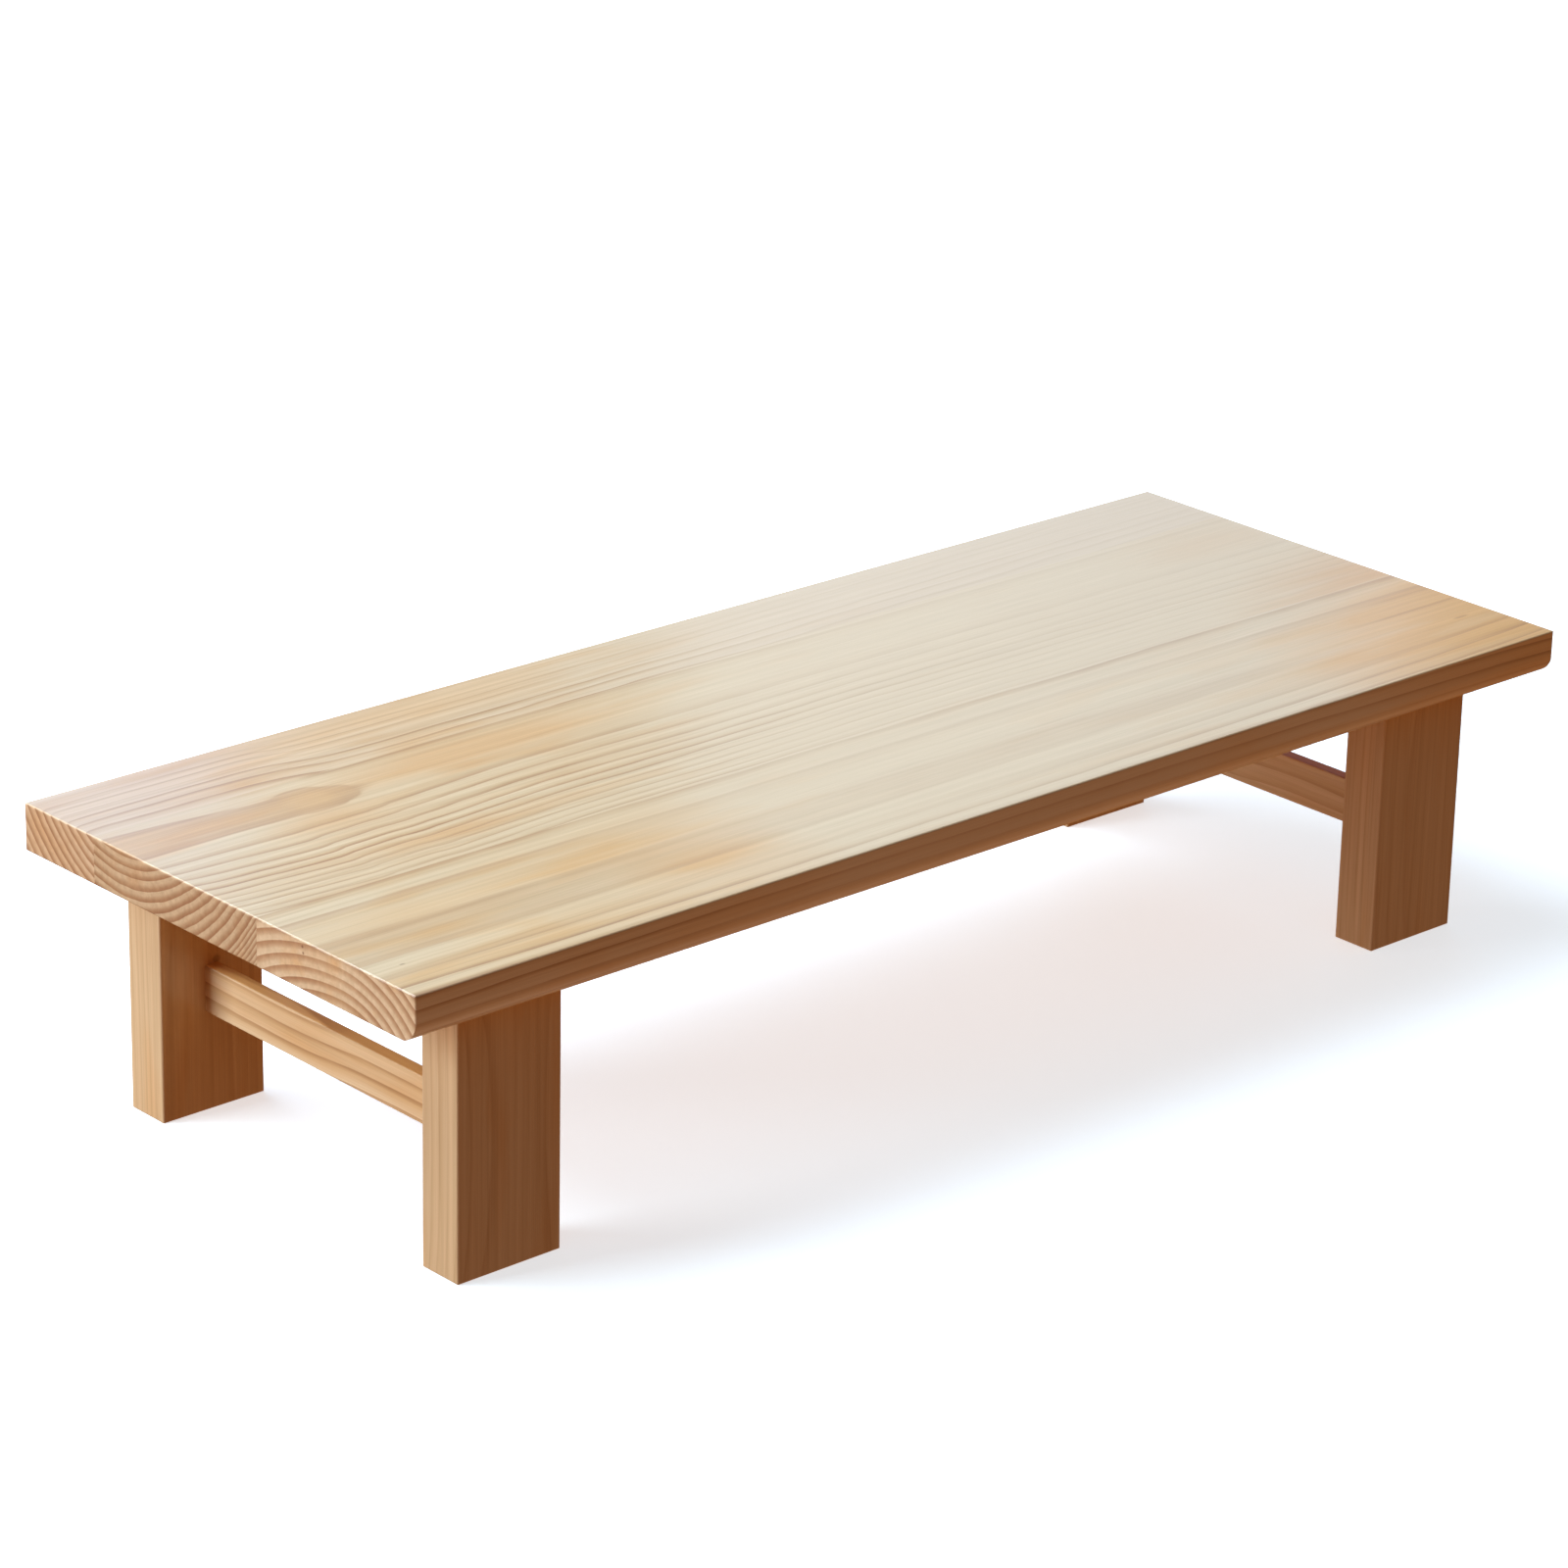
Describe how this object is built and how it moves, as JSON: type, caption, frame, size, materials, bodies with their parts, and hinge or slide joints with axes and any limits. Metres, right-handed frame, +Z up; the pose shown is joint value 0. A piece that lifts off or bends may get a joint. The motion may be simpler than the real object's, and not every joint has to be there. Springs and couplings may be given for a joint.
{
  "type": "low table",
  "caption": "Low floor table in solid pine: a thick top of edge-glued boards on end frames of broad flat legs joined by slim rails.",
  "frame": {"origin": "centre of the footprint, on the floor under the soles of the legs", "axes": "+X along the table to the sitter's right, +Y from the sitter's rounded front edge to the back edge, +Z up"},
  "size_m": [1.4, 0.55, 0.3],
  "materials": {
    "pine_top": "satin clear lacquer on pale pine, straight grain along the table",
    "pine_leg": "satin clear lacquer on pale pine, upright grain",
    "pine_rail": "satin clear lacquer on pale pine, grain along the rail",
    "pine_batten": "satin clear lacquer on pale pine, grain along the batten",
    "beech_dowel": "bare turned beech",
    "zinc_bolt": "zinc plated",
    "zinc_washer": "zinc plated",
    "brass_insert": "plain turned brass"
  },
  "bodies": {
    "root": {"top_board_back": "pine_top", "top_board_middle": "pine_top", "top_board_front": "pine_top", "leg_front_left": "pine_leg", "leg_back_left": "pine_leg", "leg_front_right": "pine_leg", "leg_back_right": "pine_leg", "lower_rail_left": "pine_rail", "lower_rail_right": "pine_rail", "top_batten_left": "pine_batten", "top_batten_right": "pine_batten", "board_dowels": "beech_dowel", "batten_bolts": "zinc_bolt", "bolt_washers": "zinc_washer", "threaded_inserts": "brass_insert"}
  },
  "joints": []
}
